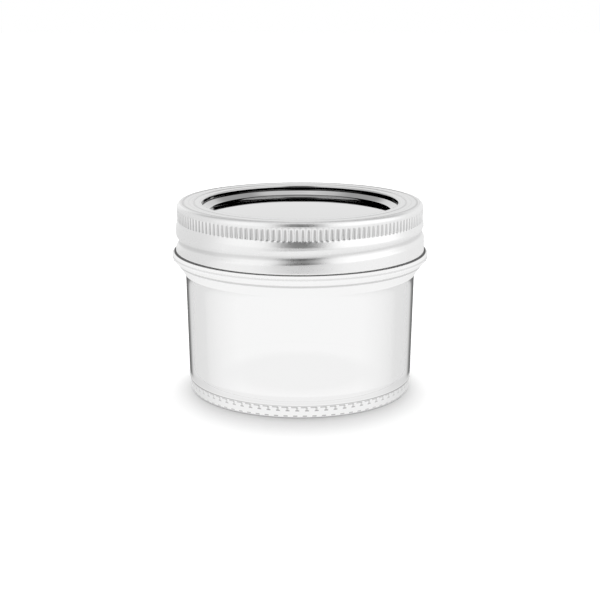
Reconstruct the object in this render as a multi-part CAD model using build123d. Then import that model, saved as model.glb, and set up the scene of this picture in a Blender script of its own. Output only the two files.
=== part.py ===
from build123d import *
from math import cos, radians, sin, sqrt
import os

# A wide-mouth glass jar with a two-piece screw closure, standing on its base.
# Millimetres, +Z up, origin at the middle of the plane that the jar stands on.

# Glass body, from the base up to the rim: each run and height starts where the last ends
base_radius = 39.7
seam_height = 4.3
heel_flare = 0.45
body_height = 42.3
body_flare = 0.9
cone_height = 4.3
cone_run = 2.95
bead_slope_height = 2.0
bead_run = 1.7
bead_height = 2.0
neck_inset = 3.3
finish_height = 15.85
finish_wall = 4.0

# Inside of the jar, and the hollow under its base
floor_height = 4.4
floor_bevel = 5.0
bearing_width = 4.5
hollow_run = 1.6
hollow_depth = 1.2

# Screw thread: one start, rising anticlockwise seen from above
thread_pitch = 7.6
thread_clearance = 0.12
groove_start_turn = 105.0
groove_margin = 1.85
groove_depth = 1.0
groove_width = 4.4
ridge_low_margin = 2.9
ridge_high_margin = 1.15
ridge_depth = 1.15
ridge_width = 3.6
ridge_root = 0.8
run_out_turn = 25.0
run_out_drop = 1.3
section_turn = 15.0

# Band of sheet metal
sheet = 0.35
skirt_gap = 0.4
skirt_clearance = 0.45
grip_top_drop = 2.3
grip_height = 3.9
grip_step_height = 0.7
knurl_count = 144
knurl_depth = 0.32
knurl_seat_share = 0.75
crest_drop = 0.08
crown_bevel = 1.1
flange_rise = 0.2
hem_side_gap = 0.9
hem_height = 1.6
hem_width = 1.3

# Lid disc, and the sealing ring under its channel
lid_sheet = 0.3
lid_gap = 0.05
lid_side_gap = 0.35
lid_rim_gap = 0.2
lid_skirt_height = 1.1
channel_width = 4.9
channel_run = 0.9
land_width = 2.4
slope_run = 2.2
hem_clearance = 0.1
panel_drop = 1.25
ring_thickness = 0.75
ring_side_gap = 0.4

# One overrun serves every cut
overrun = 1.0

# Radii that follow one another up the glass
heel_radius = base_radius + heel_flare
body_radius = heel_radius + body_flare
notch_radius = body_radius + cone_run
bead_radius = notch_radius + bead_run
neck_radius = bead_radius - neck_inset
mouth_radius = neck_radius - finish_wall

# Heights that follow one another up the glass
notch_height = body_height + cone_height
bead_low_height = notch_height + bead_slope_height
bead_top_height = bead_low_height + bead_height
rim_height = bead_top_height + finish_height

# Radii that follow from the neck: the lid's edge, the band and its opening
skirt_radius = neck_radius + ridge_depth + skirt_clearance + sheet
lid_radius = neck_radius + lid_rim_gap + lid_sheet
grip_inner_radius = lid_radius + lid_side_gap
grip_radius = grip_inner_radius + knurl_depth + sheet
channel_inner = lid_radius - channel_width
land_outer = channel_inner - channel_run
hem_outer = land_outer - hem_side_gap
opening_radius = hem_outer - hem_width

# Heights that follow from the rim: the ring lies on the glass, the lid on the ring
# and the band's flange on the lid
lid_top = rim_height + ring_thickness + lid_sheet
flange_underside = lid_top + lid_gap
flange_top = flange_underside + sheet
crown_height = flange_top + flange_rise
grip_top = crown_height - grip_top_drop
grip_bottom = grip_top - grip_height
band_bottom = bead_top_height + skirt_gap
hem_bottom = flange_top - hem_height
land_top = hem_bottom - hem_clearance
panel_top = land_top - panel_drop


def turned(corners):
    """Solid turned about Z from corners of radius and height."""
    return revolve(Plane.XZ * make_face(Polyline(*corners, close=True)), Axis.Z)


def turned_sheet(corners, thickness):
    """Sheet turned about Z below and inside a line of radius and height corners."""
    outline = offset(
        Polyline(*corners), thickness, kind=Kind.INTERSECTION, side=Side.RIGHT, closed=True
    )
    return revolve(Plane.XZ * make_face(outline), Axis.Z)


# The band's groove has two straight flanks, and the sheet is folded in round it. The
# crest of the jar's ridge stands above the fold's flank, a thread's clearance off it.
groove_root = skirt_radius - groove_depth
groove_low = band_bottom + groove_margin
groove_high = grip_bottom - groove_margin
crest_radius = neck_radius + ridge_depth
flank_run = groove_width / 2 / groove_depth
flank_slant = sqrt(1 + flank_run**2)
crest_over_root = flank_run * (crest_radius - groove_root)
ridge_lift = crest_over_root + (sheet + thread_clearance) * flank_slant


def groove_turn(height):
    """Turn from +X, in degrees, at which the groove has climbed to a height."""
    return groove_start_turn + 360 * (height - groove_low) / thread_pitch


def coil(section, low, high, lift, end_shift):
    """Section wound from one height to another, shifted outward over its run-outs."""
    first = groove_turn(low - lift)
    last = groove_turn(high - lift)
    count = round((last - first) / section_turn)
    sections = []
    for step in range(count + 1):
        share = step / count
        turn = first + (last - first) * share
        fade = max(0, 1 - min(turn - first, last - turn) / run_out_turn)
        place = Pos(end_shift * fade**2, low + (high - low) * share)
        sections.append(Rot(Z=turn) * (Plane.XZ * place * section))
    return loft(sections)


def groove_coil(growth):
    """The band's groove, or with growth the fold round it, out past the skirt."""
    root = groove_root - growth * flank_slant / flank_run
    top = skirt_radius + overrun
    half = flank_run * (top - root)
    section = make_face(Polyline((root, 0), (top, half), (top, -half), close=True))
    return coil(section, groove_low, groove_high, 0, run_out_drop)


def ridge_coil():
    """The jar's ridge, whose flanks go on down into the neck."""
    root = neck_radius - ridge_root
    half = ridge_width / 2 / ridge_depth * (crest_radius - root)
    section = make_face(Polyline((crest_radius, 0), (root, half), (root, -half), close=True))
    low = bead_top_height + ridge_low_margin
    high = grip_bottom - ridge_high_margin
    return coil(section, low, high, ridge_lift, -run_out_drop)


def make_glass_jar():
    """Jar with its heel seam, bead and screw ridge, open at the mouth."""
    bearing_inner = base_radius - bearing_width
    outside = turned(
        [
            (0, hollow_depth),
            (bearing_inner - hollow_run, hollow_depth),
            (bearing_inner, 0),
            (base_radius, 0),
            (heel_radius, seam_height),
            (body_radius, body_height),
            (notch_radius, notch_height),
            (bead_radius, bead_low_height),
            (bead_radius, bead_top_height),
            (neck_radius, bead_top_height),
            (neck_radius, rim_height),
            (0, rim_height),
        ]
    )
    inside = turned(
        [
            (0, rim_height + overrun),
            (mouth_radius, rim_height + overrun),
            (mouth_radius, floor_height + floor_bevel),
            (mouth_radius - floor_bevel, floor_height),
            (0, floor_height),
        ]
    )
    return outside + ridge_coil() - inside


def make_knurling():
    """Ring of upright ribs, whose crests lie a little below the grip's two ends."""
    radii = (grip_radius - crest_drop, grip_radius - knurl_depth)
    points = []
    for side in range(2 * knurl_count):
        angle = radians(180 * side / knurl_count)
        points.append((radii[side % 2] * cos(angle), radii[side % 2] * sin(angle)))
    ribs = make_face(Polyline(*points, close=True)) - Circle(grip_inner_radius + sheet / 2)
    return extrude(Pos(Z=grip_bottom) * ribs, grip_height)


def make_screw_band():
    """Band with its rolled thread, knurled grip, flange and hemmed opening."""
    step_bottom = grip_bottom - grip_step_height
    knurl_seat = grip_inner_radius + sheet * knurl_seat_share
    outside = turned(
        [
            (opening_radius, band_bottom),
            (skirt_radius, band_bottom),
            (skirt_radius, step_bottom),
            (grip_radius, grip_bottom),
            (knurl_seat, grip_bottom),
            (knurl_seat, grip_top),
            (grip_radius, grip_top),
            (grip_radius, crown_height - crown_bevel),
            (grip_radius - crown_bevel, crown_height),
            (opening_radius, flange_top),
        ]
    )
    inside = turned(
        [
            (opening_radius - overrun, band_bottom - overrun),
            (skirt_radius - sheet, band_bottom - overrun),
            (skirt_radius - sheet, step_bottom - sheet),
            (grip_inner_radius, grip_bottom - sheet),
            (grip_inner_radius, flange_underside),
            (hem_outer, flange_underside),
            (hem_outer, hem_bottom),
            (opening_radius - overrun, hem_bottom),
        ]
    )
    grooved = outside + make_knurling() - groove_coil(0)
    return grooved - (inside - groove_coil(sheet))


def make_lid_disc():
    """Disc with a turned-down edge, a channel over the rim and a countersunk panel."""
    land_inner = land_outer - land_width
    return turned_sheet(
        [
            (0, panel_top),
            (land_inner - slope_run, panel_top),
            (land_inner, land_top),
            (land_outer, land_top),
            (channel_inner, lid_top),
            (lid_radius, lid_top),
            (lid_radius, lid_top - lid_skirt_height),
        ],
        lid_sheet,
    )


def make_sealing_ring():
    """Ring of sealing compound between the lid's channel and the glass rim."""
    outer = lid_radius - lid_sheet - ring_side_gap
    inner = channel_inner + lid_sheet + ring_side_gap
    ring_top = rim_height + ring_thickness
    return turned(
        [
            (inner, rim_height),
            (outer, rim_height),
            (outer, ring_top),
            (inner, ring_top),
        ]
    )


parts = {
    "glass_jar": make_glass_jar(),
    "screw_band": make_screw_band(),
    "lid_disc": make_lid_disc(),
    "sealing_ring": make_sealing_ring(),
}
os.makedirs("parts", exist_ok=True)
for name, solid in parts.items():
    export_step(solid, f"parts/{name}.step")
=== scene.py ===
from math import acos, atan2, ceil, cos, pi, radians, sin, tan
import bmesh
import bpy
import numpy as np
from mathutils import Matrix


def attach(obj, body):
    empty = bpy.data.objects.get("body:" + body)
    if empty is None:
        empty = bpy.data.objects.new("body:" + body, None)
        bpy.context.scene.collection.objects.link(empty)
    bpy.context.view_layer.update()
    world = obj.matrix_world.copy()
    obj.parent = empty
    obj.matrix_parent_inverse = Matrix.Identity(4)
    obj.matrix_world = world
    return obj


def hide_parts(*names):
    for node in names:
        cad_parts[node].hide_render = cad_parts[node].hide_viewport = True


# A clear wide-mouth jar with a two-piece screw closure: glass, band, lid disc and ring.
# Sizes are in millimetres and turns in degrees. Profiles are turned about Z.

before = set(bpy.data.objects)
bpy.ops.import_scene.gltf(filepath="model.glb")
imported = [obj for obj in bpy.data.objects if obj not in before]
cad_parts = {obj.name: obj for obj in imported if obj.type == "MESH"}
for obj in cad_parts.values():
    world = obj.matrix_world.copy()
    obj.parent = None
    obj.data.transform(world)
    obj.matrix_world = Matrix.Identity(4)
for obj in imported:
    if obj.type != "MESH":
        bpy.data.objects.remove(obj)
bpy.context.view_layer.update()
scene = bpy.context.scene
MM = 0.001

# Camera, fitted to the circles of the photograph
camera_distance = 459.47
camera_height = 145.63
camera_pitch = 13.95
camera_lens = 78.2
camera_sensor = 36.0
camera_clip = 10.0

# Glass: radii and heights, its seam's step, and how near a point is taken as on the neck
base_radius = 39.7
heel_radius = 40.15
seam_height = 4.3
seam_step = 0.12
seam_rise = 0.1
body_radius = 41.05
body_height = 42.3
notch_radius = 44.0
notch_height = 46.6
bead_radius = 45.7
bead_low_height = 48.6
bead_top_height = 50.6
neck_radius = 42.4
mouth_radius = 38.4
rim_height = 66.45
floor_height = 4.4
hollow_depth = 1.2
bearing_inner = 35.2
neck_margin = 0.01

# Glass: roundings of its corners, from the foot up to the rim and down to the floor
foot_rounding = 0.9
seam_low_rounding = 0.3
seam_high_rounding = 0.1
body_rounding = 6.0
notch_rounding = 1.0
bead_low_rounding = 1.1
bead_top_rounding = 0.9
neck_rounding = 0.5
rim_rounding = 1.2
floor_rounding = 3.5

# Screw thread: one start, rising anticlockwise seen from above
thread_pitch = 7.6
groove_start = 105.0
groove_low = 52.85
groove_sweep = 341.0
groove_depth = 1.0
groove_width = 5.0
ridge_low = 53.5
ridge_start = 61.1
ridge_sweep = 343.4
ridge_depth = 1.1
ridge_width = 3.4
run_out = 25.0

# Band: radii and heights
sheet = 0.35
band_bottom = 51.0
skirt_radius = 44.35
shoulder_height = 59.6
grip_bottom = 61.9
grip_top = 65.8
grip_radius = 43.9
grip_foot_inset = 0.15
grip_inner_radius = 43.25
crown_height = 68.1
crease_height = 68.0
crease_depth = 0.28
crease_half = 0.4
outer_crease = 41.82
inner_crease = 38.12
flange_top = 67.9
flange_underside = flange_top - sheet
opening_radius = 34.9
hem_bottom = 66.3
hem_width = 1.3

# Band: roundings of its corners, outside and then inside
lip_rounding = 0.15
shoulder_rounding = 2.5
grip_rounding = 0.6
crown_rounding = 1.6
crease_rounding = 0.1
opening_rounding = 0.5
hem_rounding = 0.35
hem_root_rounding = 0.2
crown_inner_rounding = 1.0
grip_inner_rounding = 0.5
shoulder_inner_rounding = 2.0

# Band: how far from the skirt's ends the groove stops, the knurling of the grip, and how far
# out of the grip's inner wall a point is taken as outside
skirt_low_margin = 0.4
skirt_high_margin = 0.3
knurl_low = 61.6
knurl_high = 66.1
knurl_count = 144
knurl_depth = 0.32
knurl_end = 0.5
rib_share = 0.45
outside_margin = 0.2

# Band: how far the bright metal reaches out from the opening, and down from the flange
bright_reach = 0.3
bright_drop = 0.15

# Lid: radii, heights and the roundings of its corners, above and then below
lid_radius = 42.9
lid_top = 67.5
lid_sheet = 0.3
lid_skirt_height = 1.1
channel_inner = 38.0
land_outer = 37.1
land_inner = 34.7
land_top = 66.2
panel_radius = 32.5
panel_top = 64.7
panel_dome = 0.25
dome_margin = 1.5
slope_inset = 0.1
panel_rounding = 1.2
land_inner_rounding = 0.8
land_outer_rounding = 0.6
channel_rounding = 0.6
lid_edge_rounding = 0.5
lid_inner_rounding = 0.3
channel_under_rounding = 0.4

# Sealing ring
ring_inner = 38.7
ring_outer = 42.2
ring_top = lid_top - lid_sheet
ring_low_rounding = 0.1
ring_top_rounding = 0.3

# Steps along the straight runs of the profiles
hair_step = 0.1
crease_step = 0.2
grip_step = 0.22
fine_step = 0.3
edge_step = 0.4
even_step = 0.5
hem_step = 0.6
wall_step = 1.0
long_step = 2.0
inside_step = 3.0
floor_step = 6.0

# Fineness of the meshes: sides of a turn and of a rib, steps of the base's arch, the widest
# angle of an arc's step, the angle past which an edge is sharp, and how near points are merged
glass_sides = 480
sides_per_rib = 8
band_sides = knurl_count * sides_per_rib
lid_sides = 288
arch_steps = 24
arc_step = radians(12)
sharp_angle = radians(38)
merge_distance = 0.0001

# Glass: painted shade on its outer side, darker the more the surface turns away from the eye,
# as stops of turn and tint, and the heights and soft edges where one tint takes over
glass_ior = 1.007
wall_turn_shade = (
    (0.0, 1.0),
    (0.2, 0.99),
    (0.32, 0.89),
    (0.44, 0.76),
    (0.5, 0.66),
    (0.68, 0.62),
    (0.74, 0.56),
    (0.775, 0.42),
    (0.815, 0.1),
    (0.87, 0.02),
)
bead_turn_shade = (
    (0.0, 1.0),
    (0.5, 0.97),
    (0.72, 0.9),
    (1.0, 0.75),
)
heel_turn_shade = (
    (0.0, 0.94),
    (0.3, 0.88),
    (0.5, 0.72),
    (0.7, 0.6),
)
neck_turn_shade = (
    (0.0, 0.98),
    (0.15, 0.94),
    (0.3, 0.72),
    (0.5, 0.5),
    (0.75, 0.36),
    (1.0, 0.25),
)
outer_side = 38.8
foot_high = 5.0
foot_edge = 2.2
wall_high = 42.6
wall_edge = 1.6
bead_from = 42.8
neck_from = 50.8

# Glass: painted shade in thin lines round it, each a height, half height, soft edge and tint
painted_glass_lines = (
    (49.4, 0.1, 0.4, 0.68),
    (46.7, 0.2, 0.45, 0.5),
    (6.3, 1.0, 0.8, 0.88),
    (4.4, 0.03, 0.2, 0.6),
)

# Glass: painted shade along the seam's line, which shows more the more the side turns away, as
# stops of turn and share, and how much the marks of the heel fade there
seam_shade_line = (4.35, 0.05, 0.3, 0.2)
side_share = ((0.12, 0.0), (0.6, 1.0))
mark_fade = 0.65

# Glass: marks round the heel, how many, and of each row the height, half height, place
# in the spacing, half width and tint
mark_count = 76
heel_marks = (
    (3.9, 0.12, 0.42, 0.28, 0.35),
    (3.3, 0.5, 0.7, 0.06, 0.5),
    (2.7, 0.12, 0.72, 0.16, 0.3),
    (0.7, 0.15, 0.5, 0.17, 0.22),
)
mark_edge = 0.2
mark_side_edge = 0.1

# Glass: painted shadow of the gap under the band, a dark ring on the bead's ledge
ledge_radius = 44.1
ledge_half = 0.85
ledge_edge = 0.25
ledge_shadow_tint = 0.02
ledge_reach = 0.25
ledge_fade = 0.1

# Glass: faint grey disc on the inner floor
grey_radius = 19.0
grey_edge = 12.0
grey_tint = 0.91
grey_reach = 0.3

# Glass: height up to which its thick foot keeps light off the floor
shade_height = 4.5

# Metal and sealing compound: colour, and a finish of the least and the most roughness and
# the grain's scale and strength
satin_level = 0.96
satin_finish = (0.24, 0.34, 1500.0, 0.06)
bright_level = 0.62
bright_finish = (0.02, 0.04, 300.0, 0.02)
seal_colour = (0.32, 0.3, 0.28)
seal_finish = (0.55, 0.75, 900.0, 0.3)
grain_depth = 0.1

# Band: painted shade in the flutes' bottoms, in the groove's fold and on the flange's top
flute_shade = 0.7
flute_edge = 0.12
flute_end = 0.3
flute_fade = 0.2
groove_shade = 0.82
groove_edge = 0.35
skirt_drop = 1.0
skirt_fade = 1.0
flange_shade = 0.79
flange_inset = 1.3
flange_edge = 0.5
flange_depth = 0.4

# Band: painted shade in fine rings on the flange, each a radius, half width, soft edge and
# tint
flange_shade_rings = (
    (35.6, 0.1, 0.15, 0.86),
    (37.7, 0.22, 0.25, 0.83),
    (39.6, 0.08, 0.15, 0.9),
    (41.6, 0.25, 0.25, 0.8),
)

# Surround: brightness where the metal mirrors it, and cards in it, each an azimuth,
# elevation, half width, half height, soft edge and brightness. The low card is seen only
# by light that the metal has mirrored twice
mirror_level = 1.0
second_bounce = 1.5
low_card = (-15, 24, 140, 22, 6, 0.0)
mirror_cards = (
    (68, 5, 22, 30, 22, 1.14),
    (0, 31, 8, 14, 23, 0.02),
    (0, 72, 26, 10, 12, 0.1),
    (180, 47, 60, 9, 12, 0.5),
    (0, 90, 180, 7, 8, 0.5),
)
side_cards = (
    (-115, 0, 20, 90, 30, 0.76),
    (130, 0, 20, 90, 30, 0.86),
)

# Surround: brightness through the glass, and its light from behind and from the front
glass_level = 0.97
back_light = 2.0
front_light = 0.1

# Floor: brightness through the glass and in the metal, which mirrors a darker patch in front
floor_size = 6000.0
floor_gap = 0.05
floor_level = 0.93
floor_front = 480.0
floor_front_half = 100.0
floor_front_edge = 220.0
floor_front_level = 0.3

# Floor: its shade of white, and a glow that is less near the jar, a painted shadow over a
# round that is squeezed sideways to an ellipse
floor_shade = 0.98
floor_glow = 0.225
floor_glow_far = 0.31
painted_shadow_reach = 49.0
painted_shadow_edge = 14.0
painted_shadow_squeeze = 1.3


def unit(vector):
    """Vector of length one along a vector."""
    return vector / np.hypot(*vector)


def corner_arc(before, here, after, rounding):
    """Points of the arc that rounds a corner between two neighbours."""
    to_before = unit(before - here)
    to_after = unit(after - here)
    half = acos(float(np.clip(to_before @ to_after, -1, 1))) / 2
    start = here + to_before * rounding / tan(half)
    centre = here + unit(to_before + to_after) * rounding / sin(half)
    first = atan2(*(start - centre)[::-1])
    sweep = pi - 2 * half
    if np.cross(to_before, to_after) > 0:
        sweep = -sweep
    count = max(2, ceil(abs(sweep) / arc_step))
    turns = [first + sweep * step / count for step in range(count + 1)]
    return [centre + rounding * np.array((cos(turn), sin(turn))) for turn in turns]


def straight(start, end, step):
    """Points inside a straight run, a step apart."""
    count = max(1, round(np.hypot(*(end - start)) / step))
    return [start + (end - start) * share / count for share in range(1, count)]


def outline(corners, closed=False):
    """Profile through corners of radius, height, rounding and step of the run after."""
    spots = [np.array(corner[:2]) for corner in corners]
    count = len(corners)
    points = []
    for index, (_, _, rounding, _) in enumerate(corners):
        inner = closed or 0 < index < count - 1
        if rounding and inner:
            before, after = spots[index - 1], spots[(index + 1) % count]
            arc = corner_arc(before, spots[index], after, rounding)
        else:
            arc = [spots[index]]
        if points:
            points += straight(points[-1], arc[0], corners[index - 1][3])
        points += arc
    if closed:
        points += straight(points[-1], points[0], corners[-1][3])
    return np.array(points)


def smooth(value):
    """Soft step from 0 to 1."""
    value = np.clip(value, 0, 1)
    return value * value * (3 - 2 * value)


def spread(profile, sides):
    """Grids of radius and height that repeat a profile round a full turn."""
    radii = np.repeat(profile[:, :1], sides, axis=1)
    heights = np.repeat(profile[:, 1:], sides, axis=1)
    return radii, heights


def turned(name, radii, heights, closed=False):
    """Mesh object from a grid of radii and heights, one row a profile point."""
    rows, sides = radii.shape
    turns = np.arange(sides) * 2 * pi / sides
    spots = np.stack((radii * np.cos(turns), radii * np.sin(turns), heights), -1) * MM
    index = np.arange(rows * sides).reshape(rows, sides)
    if closed:
        index = np.vstack((index, index[:1]))
    beside = np.roll(index, -1, axis=1)
    quads = np.stack((index[:-1], beside[:-1], beside[1:], index[1:]), -1).reshape(-1, 4)
    mesh = bpy.data.meshes.new(name)
    mesh.from_pydata(spots.reshape(-1, 3).tolist(), [], quads.tolist())
    body = bmesh.new()
    body.from_mesh(mesh)
    if not closed:
        bmesh.ops.remove_doubles(body, verts=body.verts, dist=merge_distance * MM)
    bmesh.ops.recalc_face_normals(body, faces=body.faces)
    body.to_mesh(mesh)
    body.free()
    mesh.shade_smooth()
    mesh.set_sharp_from_angle(angle=sharp_angle)
    piece = bpy.data.objects.new(name, mesh)
    scene.collection.objects.link(piece)
    return piece


def coil_share(sides, heights, start, sweep, low, width):
    """How much a coil shows at each side and height, from 0 to 1, faded at its ends."""
    along = (np.arange(sides) * 360 / sides - start) % 360
    centre = low + thread_pitch * along / 360
    fade = smooth(np.minimum(along, sweep - along) / run_out)
    across = np.clip(np.abs(heights - centre) * 2 / width, 0, 1)
    return fade * (1 + np.cos(pi * across)) / 2


def make_glass():
    """Jar from its base up to the rim and down its inside to the floor."""
    profile = outline(
        [
            (bearing_inner, 0, 0, even_step),
            (base_radius, 0, foot_rounding, even_step),
            (heel_radius, seam_height, seam_low_rounding, hair_step),
            (heel_radius + seam_step, seam_height + seam_rise, seam_high_rounding, long_step),
            (body_radius, body_height, body_rounding, wall_step),
            (notch_radius, notch_height, notch_rounding, even_step),
            (bead_radius, bead_low_height, bead_low_rounding, fine_step),
            (bead_radius, bead_top_height, bead_top_rounding, even_step),
            (neck_radius, bead_top_height, neck_rounding, fine_step),
            (neck_radius, rim_height, rim_rounding, even_step),
            (mouth_radius, rim_height, rim_rounding, long_step),
            (mouth_radius, floor_height, floor_rounding, inside_step),
            (0, floor_height, 0, floor_step),
        ]
    )
    reach = np.linspace(0, bearing_inner, arch_steps, endpoint=False)
    arch = np.stack((reach, hollow_depth * (1 - (reach / bearing_inner) ** 2)), -1)
    profile = np.vstack((arch, profile))
    radii, heights = spread(profile, glass_sides)
    neck = (profile[:, 1] > bead_top_height) & (profile[:, 0] > neck_radius - neck_margin)
    share = coil_share(glass_sides, heights, ridge_start, ridge_sweep, ridge_low, ridge_width)
    radii[neck] += ridge_depth * share[neck]
    return turned("glass_jar_visual", radii, heights)


def crease(radius, bottom, before, after):
    """Corners of a crease in the flange, inward from the height before to that after."""
    return [
        (radius + crease_half, before, crease_rounding, crease_step),
        (radius, bottom, crease_rounding, crease_step),
        (radius - crease_half, after, crease_rounding, even_step),
    ]


def band_profile():
    """Section of the band, from its lip up the outside and down the inside."""
    hem_outer = opening_radius + hem_width
    outside = [
        (skirt_radius - sheet, band_bottom, lip_rounding, fine_step),
        (skirt_radius, band_bottom, lip_rounding, fine_step),
        (skirt_radius, shoulder_height, shoulder_rounding, fine_step),
        (grip_radius - grip_foot_inset, grip_bottom, grip_rounding, grip_step),
        (grip_radius, grip_top, grip_rounding, fine_step),
        (grip_radius, crown_height, crown_rounding, even_step),
    ]
    outside += crease(outer_crease, crown_height - crease_depth, crown_height, crease_height)
    outside += crease(inner_crease, flange_top - crease_depth / 2, crease_height, flange_top)
    inside = [
        (opening_radius, flange_top, opening_rounding, fine_step),
        (opening_radius, hem_bottom, hem_rounding, fine_step),
        (hem_outer, hem_bottom, hem_rounding, fine_step),
        (hem_outer, flange_underside, hem_root_rounding, hem_step),
        (grip_inner_radius, flange_underside, crown_inner_rounding, even_step),
        (grip_inner_radius, grip_bottom - sheet, grip_inner_rounding, even_step),
        (skirt_radius - sheet, shoulder_height - sheet, shoulder_inner_rounding, fine_step),
    ]
    return outline(outside + inside, closed=True)


def knurling(profile, rows):
    """How deep the flutes go in these rows of the profile, at each side of the band."""
    heights = profile[rows, 1]
    ends = np.minimum(heights - knurl_low, knurl_high - heights)
    phase = np.abs((np.arange(band_sides) * knurl_count / band_sides + 0.5) % 1 - 0.5)
    rib = (1 + np.cos(pi * np.minimum(1, phase / rib_share))) / 2
    return knurl_depth * smooth(ends / knurl_end)[:, None] * (1 - rib)


def make_band(satin, bright):
    """Band with rolled thread, knurled grip, creased flange and bright hemmed opening."""
    profile = band_profile()
    radii, heights = spread(profile, band_sides)
    above = profile[:, 1] > band_bottom + skirt_low_margin
    skirt = above & (profile[:, 1] < grip_bottom - skirt_high_margin)
    share = coil_share(
        band_sides, heights, groove_start, groove_sweep, groove_low, groove_width
    )
    radii[skirt] -= groove_depth * share[skirt]
    outside = profile[:, 0] > grip_inner_radius + outside_margin
    grip = outside & (profile[:, 1] > knurl_low) & (profile[:, 1] < knurl_high)
    radii[grip] -= knurling(profile, grip)
    band = turned("screw_band_visual", radii, heights, closed=True)
    band.data.materials.append(satin)
    band.data.materials.append(bright)
    widest = (opening_radius + bright_reach) * MM
    highest = (flange_top - bright_drop) * MM
    for face in band.data.polygons:
        if np.hypot(*face.center[:2]) < widest and face.center.z < highest:
            face.material_index = 1
    return band


def make_lid():
    """Lid disc: countersunk panel, land, channel over the rim and turned-down edge."""
    top = [
        (0, panel_top, 0, long_step),
        (panel_radius, panel_top, panel_rounding, even_step),
        (land_inner, land_top, land_inner_rounding, even_step),
        (land_outer, land_top, land_outer_rounding, even_step),
        (channel_inner, lid_top, channel_rounding, even_step),
        (lid_radius, lid_top, lid_edge_rounding, edge_step),
        (lid_radius, lid_top - lid_skirt_height, 0, hair_step),
    ]
    inner = lid_radius - lid_sheet
    under = [
        (inner, lid_top - lid_skirt_height, 0, edge_step),
        (inner, lid_top - lid_sheet, lid_inner_rounding, even_step),
        (channel_inner + slope_inset, lid_top - lid_sheet, channel_under_rounding, even_step),
        (land_outer + slope_inset, land_top - lid_sheet, land_outer_rounding, even_step),
        (land_inner, land_top - lid_sheet, land_inner_rounding, even_step),
        (panel_radius, panel_top - lid_sheet, panel_rounding, long_step),
        (0, panel_top - lid_sheet, 0, long_step),
    ]
    profile = outline(top + under)
    share = np.clip(profile[:, 0] / (panel_radius - dome_margin), 0, 1)
    profile[:, 1] += panel_dome * (1 - share**2)
    return turned("lid_disc_visual", *spread(profile, lid_sides))


def make_ring():
    """Sealing ring, flat on the glass rim and softly rounded under the lid."""
    corners = [
        (ring_inner, rim_height, ring_low_rounding, fine_step),
        (ring_outer, rim_height, ring_low_rounding, fine_step),
        (ring_outer, ring_top, ring_top_rounding, fine_step),
        (ring_inner, ring_top, ring_top_rounding, fine_step),
    ]
    profile = outline(corners, closed=True)
    return turned("sealing_ring_visual", *spread(profile, lid_sides), closed=True)


def feed(tree, source, socket):
    """Gives a socket a number, or joins another node's socket to it."""
    if isinstance(source, (int, float)):
        socket.default_value = source
    else:
        tree.links.new(source, socket)


def math_node(tree, operation, *values):
    """Result of a math node on sockets or numbers."""
    node = tree.nodes.new("ShaderNodeMath")
    node.operation = operation
    for socket, value in zip(node.inputs, values):
        feed(tree, value, socket)
    return node.outputs["Value"]


def product(tree, first, *others):
    """Product of sockets or numbers."""
    for other in others:
        first = math_node(tree, "MULTIPLY", first, other)
    return first


def over(tree, value, limit):
    """1 where a value is greater than a limit, and 0 elsewhere."""
    return math_node(tree, "GREATER_THAN", value, limit)


def mapped(tree, value, ends, kind="LINEAR"):
    """Value carried over from one range to another, with the ends of both."""
    node = tree.nodes.new("ShaderNodeMapRange")
    node.interpolation_type = kind
    for name, end in zip(("From Min", "From Max", "To Min", "To Max"), ends):
        node.inputs[name].default_value = end
    tree.links.new(value, node.inputs["Value"])
    return node.outputs["Result"]


def soft_limit(tree, value, limit, edge):
    """1 while a value stays within a limit, falling to 0 over an edge past it."""
    return mapped(tree, value, (limit, limit + edge, 1, 0), "SMOOTHSTEP")


def window(tree, value, middle, reach, edge):
    """1 while a value stays near a middle, falling to 0 over an edge past its reach."""
    away = math_node(tree, "SUBTRACT", value, middle)
    return soft_limit(tree, math_node(tree, "ABSOLUTE", away), reach, edge)


def toned(tree, level, cover, tint):
    """Level, multiplied by a tint where the cover is 1."""
    share = math_node(tree, "MULTIPLY_ADD", cover, tint - 1.0, 1.0)
    return math_node(tree, "MULTIPLY", level, share)


def choose(tree, flag, otherwise, value):
    """One value where a flag is 1, and another where it is 0."""
    node = tree.nodes.new("ShaderNodeMix")
    feed(tree, flag, node.inputs["Factor"])
    feed(tree, otherwise, node.inputs["A"])
    feed(tree, value, node.inputs["B"])
    return node.outputs["Result"]


def ramp(tree, value, stops):
    """Grey that follows a value through stops of place and brightness."""
    node = tree.nodes.new("ShaderNodeValToRGB")
    band = node.color_ramp
    while len(band.elements) < len(stops):
        band.elements.new(1.0)
    for element, (place, level) in zip(band.elements, stops):
        element.position = place
        element.color = (level, level, level, 1)
    tree.links.new(value, node.inputs["Fac"])
    return node.outputs["Color"]


def output_of(tree, kind, name):
    """One output of a new node."""
    return tree.nodes.new(kind).outputs[name]


def split(tree, vector):
    """X, Y and Z of a vector."""
    node = tree.nodes.new("ShaderNodeSeparateXYZ")
    tree.links.new(vector, node.inputs["Vector"])
    return node.outputs["X"], node.outputs["Y"], node.outputs["Z"]


def from_axis(tree, x, y):
    """Distance from the Z axis."""
    square = math_node(tree, "MULTIPLY", y, y)
    return math_node(tree, "SQRT", math_node(tree, "MULTIPLY_ADD", x, x, square))


def new_material(name):
    """New material with an empty node tree."""
    material = bpy.data.materials.new(name)
    material.use_nodes = True
    material.node_tree.nodes.clear()
    return material, material.node_tree


def principled_material(name):
    """New material of one shader, which is joined to the output."""
    material, tree = new_material(name)
    shader = tree.nodes.new("ShaderNodeBsdfPrincipled")
    out = tree.nodes.new("ShaderNodeOutputMaterial")
    tree.links.new(shader.outputs["BSDF"], out.inputs["Surface"])
    return material, tree, shader


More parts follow.
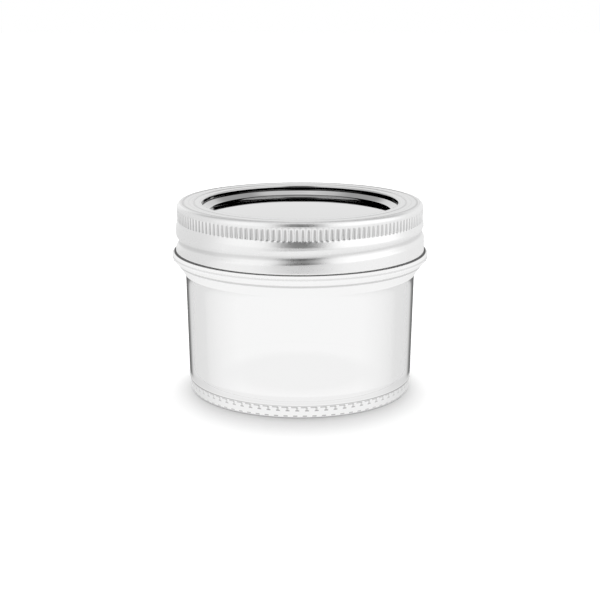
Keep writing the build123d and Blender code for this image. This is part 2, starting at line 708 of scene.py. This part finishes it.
def add_grain(tree, shader, low, high, scale, strength):
    """Small unevenness of a surface and of its gloss, from noise in the object's space."""
    noise = tree.nodes.new("ShaderNodeTexNoise")
    noise.inputs["Scale"].default_value = scale
    tree.links.new(output_of(tree, "ShaderNodeTexCoord", "Object"), noise.inputs["Vector"])
    bump = tree.nodes.new("ShaderNodeBump")
    bump.inputs["Strength"].default_value = strength
    bump.inputs["Distance"].default_value = grain_depth * MM
    tree.links.new(noise.outputs["Fac"], bump.inputs["Height"])
    tree.links.new(bump.outputs["Normal"], shader.inputs["Normal"])
    gloss = mapped(tree, noise.outputs["Fac"], (0, 1, low, high))
    tree.links.new(gloss, shader.inputs["Roughness"])


def metal_material(name, level, finish):
    """New material of tin-plated sheet with a fine grain and an uneven gloss."""
    material, tree, shader = principled_material(name)
    shader.inputs["Base Color"].default_value = (level, level, level, 1)
    shader.inputs["Metallic"].default_value = 1.0
    add_grain(tree, shader, *finish)
    return material, tree, shader


def bright_material():
    """Bright sheet of the disc and of the band's hem."""
    material, _, _ = metal_material("bright_lid_metal", bright_level, bright_finish)
    return material


def satin_material():
    """Satin sheet, with painted shade in the grip's flutes, in the groove's fold and on the
    flange.
    """
    material, tree, shader = metal_material("satin_band_metal", satin_level, satin_finish)
    x, y, height = split(tree, output_of(tree, "ShaderNodeTexCoord", "Object"))
    radius = from_axis(tree, x, y)

    # Painted shade in the bottoms of the grip's flutes
    middle = (knurl_low + knurl_high) / 2
    reach = (knurl_high - knurl_low) / 2 - flute_end
    grip = window(tree, height, middle * MM, reach * MM, flute_fade * MM)
    deep = soft_limit(tree, radius, (grip_radius - knurl_depth) * MM, flute_edge * MM)
    outside = over(tree, radius, (grip_inner_radius + outside_margin) * MM)
    flutes = product(tree, deep, outside, grip)
    tint = toned(tree, satin_level, flutes, flute_shade)

    # Painted shade in the groove's fold
    fold = soft_limit(tree, radius, (skirt_radius - groove_depth) * MM, groove_edge * MM)
    skirt = soft_limit(tree, height, (shoulder_height - skirt_drop) * MM, skirt_fade * MM)
    tint = toned(tree, tint, product(tree, fold, skirt), groove_shade)

    # Painted shade on the flange's top and in fine rings on it
    top = over(tree, height, (flange_top - flange_depth) * MM)
    flange = soft_limit(tree, radius, (grip_radius - flange_inset) * MM, flange_edge * MM)
    tint = toned(tree, tint, product(tree, flange, top), flange_shade)
    for middle, reach, edge, ring_shade in flange_shade_rings:
        line = window(tree, radius, middle * MM, reach * MM, edge * MM)
        tint = toned(tree, tint, product(tree, line, top), ring_shade)
    tree.links.new(tint, shader.inputs["Base Color"])
    return material


def seal_material():
    """Matt sealing compound."""
    material, tree, shader = principled_material("sealing_compound")
    shader.inputs["Base Color"].default_value = (*seal_colour, 1)
    add_grain(tree, shader, *seal_finish)
    return material


def painted_glass_shade(tree, radius, height, facing):
    """Painted shade of wall, bead, heel and neck by their turn away, and painted shadow on the
    bead's ledge.
    """
    wall = soft_limit(tree, height, wall_high * MM, wall_edge * MM)
    bead = over(tree, height, bead_from * MM)
    foot = soft_limit(tree, height, foot_high * MM, foot_edge * MM)
    neck = over(tree, height, neck_from * MM)
    tint = 1.0
    zones = ((wall, wall_turn_shade), (bead, bead_turn_shade), (foot, heel_turn_shade), (neck, neck_turn_shade))
    for cover, stops in zones:
        tint = choose(tree, cover, tint, ramp(tree, facing, stops))
    ledge = window(tree, radius, ledge_radius * MM, ledge_half * MM, ledge_edge * MM)
    top = window(tree, height, bead_top_height * MM, ledge_reach * MM, ledge_fade * MM)
    # Painted shadow under the band, shown to camera rays only
    seen = output_of(tree, "ShaderNodeLightPath", "Is Camera Ray")
    return toned(tree, tint, product(tree, ledge, top, seen), ledge_shadow_tint)


def line_shade_tone(tree, tint, height, side):
    """Tint with the painted shade of the seam and of the thin lines that run round the glass.
    """
    middle, reach, edge, level = seam_shade_line
    line = window(tree, height, middle * MM, reach * MM, edge * MM)
    tint = toned(tree, tint, product(tree, line, side), level)
    for middle, reach, edge, level in painted_glass_lines:
        line = window(tree, height, middle * MM, reach * MM, edge * MM)
        tint = toned(tree, tint, line, level)
    return tint


def mark_tone(tree, tint, x, y, height, side):
    """Tint with the rows of marks round the heel, which fade towards the sides."""
    shown = math_node(tree, "MULTIPLY_ADD", side, -mark_fade, 1.0)
    angle = math_node(tree, "ARCTAN2", y, x)
    angle = math_node(tree, "MULTIPLY", angle, mark_count / (2 * pi))
    along = math_node(tree, "FRACT", math_node(tree, "ADD", angle, mark_count))
    for middle, reach, place, half, level in heel_marks:
        row = window(tree, height, middle * MM, reach * MM, mark_edge * MM)
        across = window(tree, along, place, half, mark_side_edge)
        tint = toned(tree, tint, product(tree, row, product(tree, across, shown)), level)
    return tint


def glass_material():
    """Clear glass, with painted shade where its outer side turns away."""
    material, tree, shader = principled_material("clear_glass")
    shader.inputs["Transmission Weight"].default_value = 1.0
    shader.inputs["Roughness"].default_value = 0.0
    shader.inputs["IOR"].default_value = glass_ior
    x, y, height = split(tree, output_of(tree, "ShaderNodeTexCoord", "Object"))
    radius = from_axis(tree, x, y)
    facing = output_of(tree, "ShaderNodeLayerWeight", "Facing")
    behind = output_of(tree, "ShaderNodeNewGeometry", "Backfacing")
    near = math_node(tree, "SUBTRACT", 1.0, behind)
    side = ramp(tree, facing, side_share)

    tint = painted_glass_shade(tree, radius, height, facing)
    tint = line_shade_tone(tree, tint, height, side)
    tint = mark_tone(tree, tint, x, y, height, side)
    outer = product(tree, over(tree, radius, outer_side * MM), near)
    tint = choose(tree, outer, 1.0, tint)

    disc = soft_limit(tree, radius, grey_radius * MM, grey_edge * MM)
    level = window(tree, height, floor_height * MM, grey_reach * MM, grey_reach * MM)
    tint = toned(tree, tint, product(tree, disc, near, level), grey_tint)

    low = math_node(tree, "LESS_THAN", height, shade_height * MM)
    shade = math_node(tree, "SUBTRACT", 1.0, low)
    diffuse = output_of(tree, "ShaderNodeLightPath", "Is Diffuse Ray")
    tree.links.new(choose(tree, diffuse, tint, shade), shader.inputs["Base Color"])
    return material


def surround(tree, direction, level, cards):
    """Brightness of the surround, by direction, with soft cards laid over a plain level.

    A card has an azimuth from the camera towards +X and an elevation, their half
    widths, the width of its soft edge, all in degrees, and its brightness.
    """
    x, y, z = split(tree, direction)
    toward = math_node(tree, "MULTIPLY", y, -1.0)
    azimuth = math_node(tree, "ARCTAN2", x, toward)
    elevation = math_node(tree, "ARCSINE", z)
    for *angles, brightness in cards:
        aside, up, half_width, half_height, edge = map(radians, angles)
        across = math_node(tree, "SUBTRACT", azimuth, aside)
        across = math_node(tree, "WRAP", across, pi, -pi)
        across = math_node(tree, "ABSOLUTE", across)
        width = soft_limit(tree, across, half_width, edge)
        height = window(tree, elevation, up, half_height, edge)
        cover = product(tree, width, height)
        bare = product(tree, level, math_node(tree, "SUBTRACT", 1.0, cover))
        level = math_node(tree, "MULTIPLY_ADD", cover, brightness, bare)
    return level


def make_camera():
    """Camera at the photograph's place."""
    data = bpy.data.cameras.new("camera")
    data.sensor_width = camera_sensor
    data.lens = camera_lens
    data.clip_start = camera_clip * MM
    camera = bpy.data.objects.new("camera", data)
    camera.location = (0, -camera_distance * MM, camera_height * MM)
    camera.rotation_euler = (radians(90 - camera_pitch), 0, 0)
    scene.collection.objects.link(camera)
    scene.camera = camera


def make_world():
    """Soft studio: white to the camera, plain in the glass, with cards in the metal."""
    world = bpy.data.worlds.new("studio")
    scene.world = world
    world.use_nodes = True
    world.cycles.sampling_method = "NONE"
    tree = world.node_tree
    tree.nodes.clear()
    direction = output_of(tree, "ShaderNodeTexCoord", "Generated")
    path = tree.nodes.new("ShaderNodeLightPath")
    mirrored = surround(tree, direction, mirror_level, side_cards + mirror_cards)
    twice = over(tree, path.outputs["Glossy Depth"], second_bounce)
    lower = surround(tree, direction, mirrored, (low_card,))
    mirrored = choose(tree, twice, mirrored, lower)
    _, y, _ = split(tree, direction)
    behind = math_node(tree, "MULTIPLY_ADD", y, 0.5, 0.5)
    lit = math_node(tree, "MULTIPLY_ADD", behind, back_light - front_light, front_light)
    level = choose(tree, path.outputs["Is Diffuse Ray"], 1.0, lit)
    level = choose(tree, path.outputs["Is Glossy Ray"], level, mirrored)
    level = choose(tree, path.outputs["Is Transmission Ray"], level, glass_level)
    background = tree.nodes.new("ShaderNodeBackground")
    background.inputs["Color"].default_value = (1, 1, 1, 1)
    tree.links.new(level, background.inputs["Strength"])
    out = tree.nodes.new("ShaderNodeOutputWorld")
    tree.links.new(background.outputs["Background"], out.inputs["Surface"])


def glow_of(tree, strength):
    """White emission of a strength."""
    node = tree.nodes.new("ShaderNodeEmission")
    tree.links.new(strength, node.inputs["Strength"])
    return node.outputs["Emission"]


def floor_material():
    """White floor that keeps a shadow, deepened by a painted shadow round the jar. It is plain
    in the glass, and darker in the metal.
    """
    material, tree = new_material("white_floor")
    path = tree.nodes.new("ShaderNodeLightPath")
    place = output_of(tree, "ShaderNodeTexCoord", "Object")

    diffuse = tree.nodes.new("ShaderNodeBsdfDiffuse")
    diffuse.inputs["Color"].default_value = (floor_shade, floor_shade, floor_shade, 1)
    # Painted shadow: less glow over a round about the jar, squeezed sideways
    x, y, _ = split(tree, place)
    away = from_axis(tree, math_node(tree, "MULTIPLY", x, painted_shadow_squeeze), y)
    painted_shadow = soft_limit(tree, away, painted_shadow_reach * MM, painted_shadow_edge * MM)
    shadow_dimming = floor_glow - floor_glow_far
    glow = math_node(tree, "MULTIPLY_ADD", painted_shadow, shadow_dimming, floor_glow_far)
    add = tree.nodes.new("ShaderNodeAddShader")
    tree.links.new(diffuse.outputs["BSDF"], add.inputs[0])
    tree.links.new(glow_of(tree, glow), add.inputs[1])

    front = tree.nodes.new("ShaderNodeVectorMath")
    front.operation = "DISTANCE"
    front.inputs[1].default_value = (0, -floor_front * MM, 0)
    tree.links.new(place, front.inputs[0])
    reach, edge = floor_front_half * MM, floor_front_edge * MM
    patch = soft_limit(tree, front.outputs["Value"], reach, edge)
    darker = floor_front_level - floor_level
    mirrored = math_node(tree, "MULTIPLY_ADD", patch, darker, floor_level)
    mirrored = surround(tree, place, mirrored, side_cards)
    through = path.outputs["Is Transmission Ray"]
    plain = glow_of(tree, choose(tree, through, mirrored, floor_level))

    mix = tree.nodes.new("ShaderNodeMixShader")
    seen = math_node(tree, "MAXIMUM", path.outputs["Is Glossy Ray"], through)
    tree.links.new(seen, mix.inputs["Fac"])
    tree.links.new(add.outputs["Shader"], mix.inputs[1])
    tree.links.new(plain, mix.inputs[2])
    out = tree.nodes.new("ShaderNodeOutputMaterial")
    tree.links.new(mix.outputs["Shader"], out.inputs["Surface"])
    return material


def make_floor():
    """Wide white floor that keeps the jar's soft shadow, part cast and part painted."""
    mesh = bpy.data.meshes.new("floor")
    half = floor_size / 2 * MM
    corners = [(-half, -half, 0), (half, -half, 0), (half, half, 0), (-half, half, 0)]
    mesh.from_pydata(corners, [], [(0, 1, 2, 3)])
    mesh.materials.append(floor_material())
    floor = bpy.data.objects.new("floor", mesh)
    floor.location.z = -floor_gap * MM
    scene.collection.objects.link(floor)


def dress(piece, node, body, material):
    """Gives a piece its material if it has none, puts it on its body and hides the node's
    part.
    """
    if not piece.data.materials:
        piece.data.materials.append(material)
    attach(piece, body)
    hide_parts(node)


make_camera()
make_world()
make_floor()
scene.view_settings.view_transform = "Standard"

satin = satin_material()
bright = bright_material()
dress(make_glass(), "glass_jar", "jar", glass_material())
dress(make_band(satin, bright), "screw_band", "band", satin)
dress(make_lid(), "lid_disc", "lid", bright)
dress(make_ring(), "sealing_ring", "lid", seal_material())
